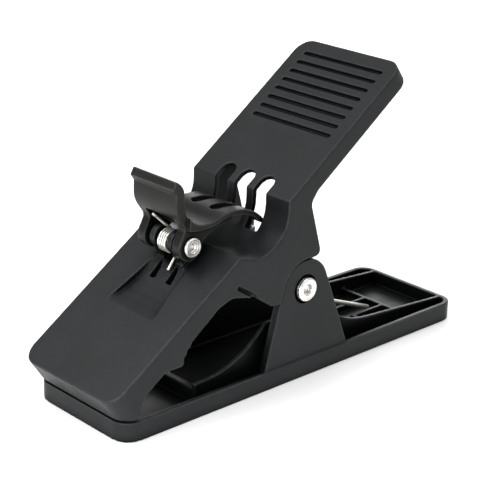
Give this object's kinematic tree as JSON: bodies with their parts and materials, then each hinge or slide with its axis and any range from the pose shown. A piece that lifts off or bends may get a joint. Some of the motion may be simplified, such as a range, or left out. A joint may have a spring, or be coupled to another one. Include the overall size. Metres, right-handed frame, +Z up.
{
  "type": "sprung rail clamp with stick cradle",
  "caption": "Sprung plastic clamp for a rail, with a flat tray as its lower jaw, a bent arm as jaw and handle, and a half-round cradle with a sprung thumb lever across the arm.",
  "frame": {"origin": "on the base tray's flat underside, midway across it and straight below the main pivot", "axes": "+X across the width, +Y from the jaw tip to the rear, +Z up"},
  "size_m": [0.0463, 0.1575, 0.0996],
  "materials": {
    "black_plastic": "fine moulded grain, low sheen",
    "black_nylon": "smooth, low sheen",
    "nickel_rivet": "bright nickel plate",
    "spring_wire": "bright drawn wire"
  },
  "bodies": {
    "base": {"base_tray": "black_plastic", "main_pivot_rivet": "nickel_rivet", "main_rivet_washer": "nickel_rivet", "spring_bush": "black_nylon", "main_spring": "spring_wire"},
    "arm": {"clamp_arm": "black_plastic", "lever_pivot_rivet": "nickel_rivet", "lever_rivet_washer": "nickel_rivet", "lever_spring": "spring_wire"},
    "lever": {"thumb_lever": "black_plastic"}
  },
  "joints": [
    {"name": "jaw_hinge", "type": "hinge", "parent": "base", "child": "arm", "pos_m": [0, 0, 0.031], "axis": [-1, 0, 0], "range_deg": [0, 40], "stiffness_Nm_per_rad": 1.2, "springref_deg": -57.3, "deforming": ["main_spring"]},
    {"name": "lever_hinge", "type": "hinge", "parent": "arm", "child": "lever", "pos_m": [0, -0.039, 0.0513], "axis": [1, 0, 0], "range_deg": [0, 55], "stiffness_Nm_per_rad": 0.03, "springref_deg": -45.84, "deforming": ["lever_spring"]}
  ]
}
